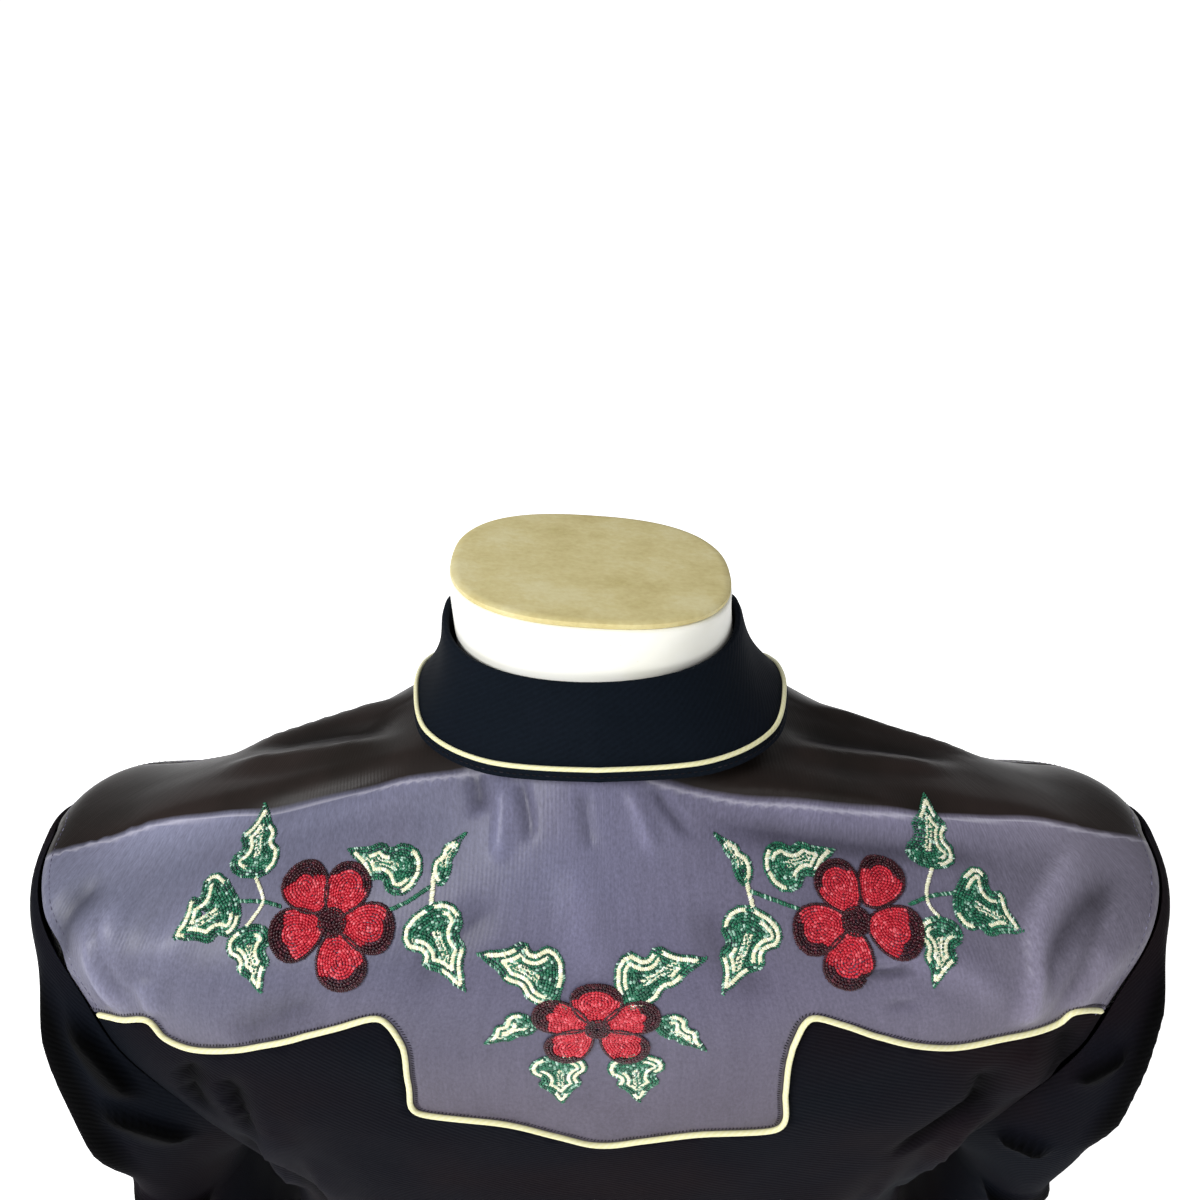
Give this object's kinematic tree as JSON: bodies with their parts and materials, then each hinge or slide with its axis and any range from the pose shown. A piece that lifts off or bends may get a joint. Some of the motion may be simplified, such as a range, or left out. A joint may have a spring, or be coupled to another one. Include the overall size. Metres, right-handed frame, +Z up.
{
  "type": "western snap shirt on a limbless torso form",
  "caption": "Long-sleeved western snap shirt with a shaped, piped satin yoke and embroidered flowers, worn by a limbless torso form that stands on its flat base.",
  "frame": {"origin": "on the underside of the form's flat base, under its middle", "axes": "+Z up, +X to the wearer's left, the shirt's front faces -Y"},
  "size_m": [0.5164, 0.2284, 0.8806],
  "materials": {
    "black_cloth": "smooth tightly woven black cloth with a navy cast, matt",
    "grey_satin": "grey-blue satin weave with a soft sheen",
    "gold_piping": "pale gold corded piping",
    "pearl_snap": "pearl cap, glossy",
    "form_shell": "ivory white shell, lightly glossy",
    "form_cap": "khaki felt-like neck cap, matt"
  },
  "bodies": {
    "root": {"back_panel": "black_cloth", "back_yoke": "grey_satin", "back_yoke_piping": "gold_piping", "collar_leaf": "black_cloth", "collar_piping": "gold_piping", "collar_stand": "black_cloth", "cuff_left": "black_cloth", "cuff_right": "black_cloth", "form_neck_cap": "form_cap", "front_left": "black_cloth", "front_right": "black_cloth", "front_yoke_left": "grey_satin", "front_yoke_piping_left": "gold_piping", "front_yoke_piping_right": "gold_piping", "front_yoke_right": "grey_satin", "placket": "black_cloth", "sleeve_left": "black_cloth", "sleeve_right": "black_cloth", "snap_collar": "pearl_snap", "snap_cuff_left_1": "pearl_snap", "snap_cuff_left_2": "pearl_snap", "snap_cuff_right_1": "pearl_snap", "snap_cuff_right_2": "pearl_snap", "snap_front_1": "pearl_snap", "snap_front_2": "pearl_snap", "snap_front_3": "pearl_snap", "snap_front_4": "pearl_snap", "snap_front_5": "pearl_snap", "snap_front_6": "pearl_snap", "torso_form": "form_shell"}
  },
  "joints": []
}
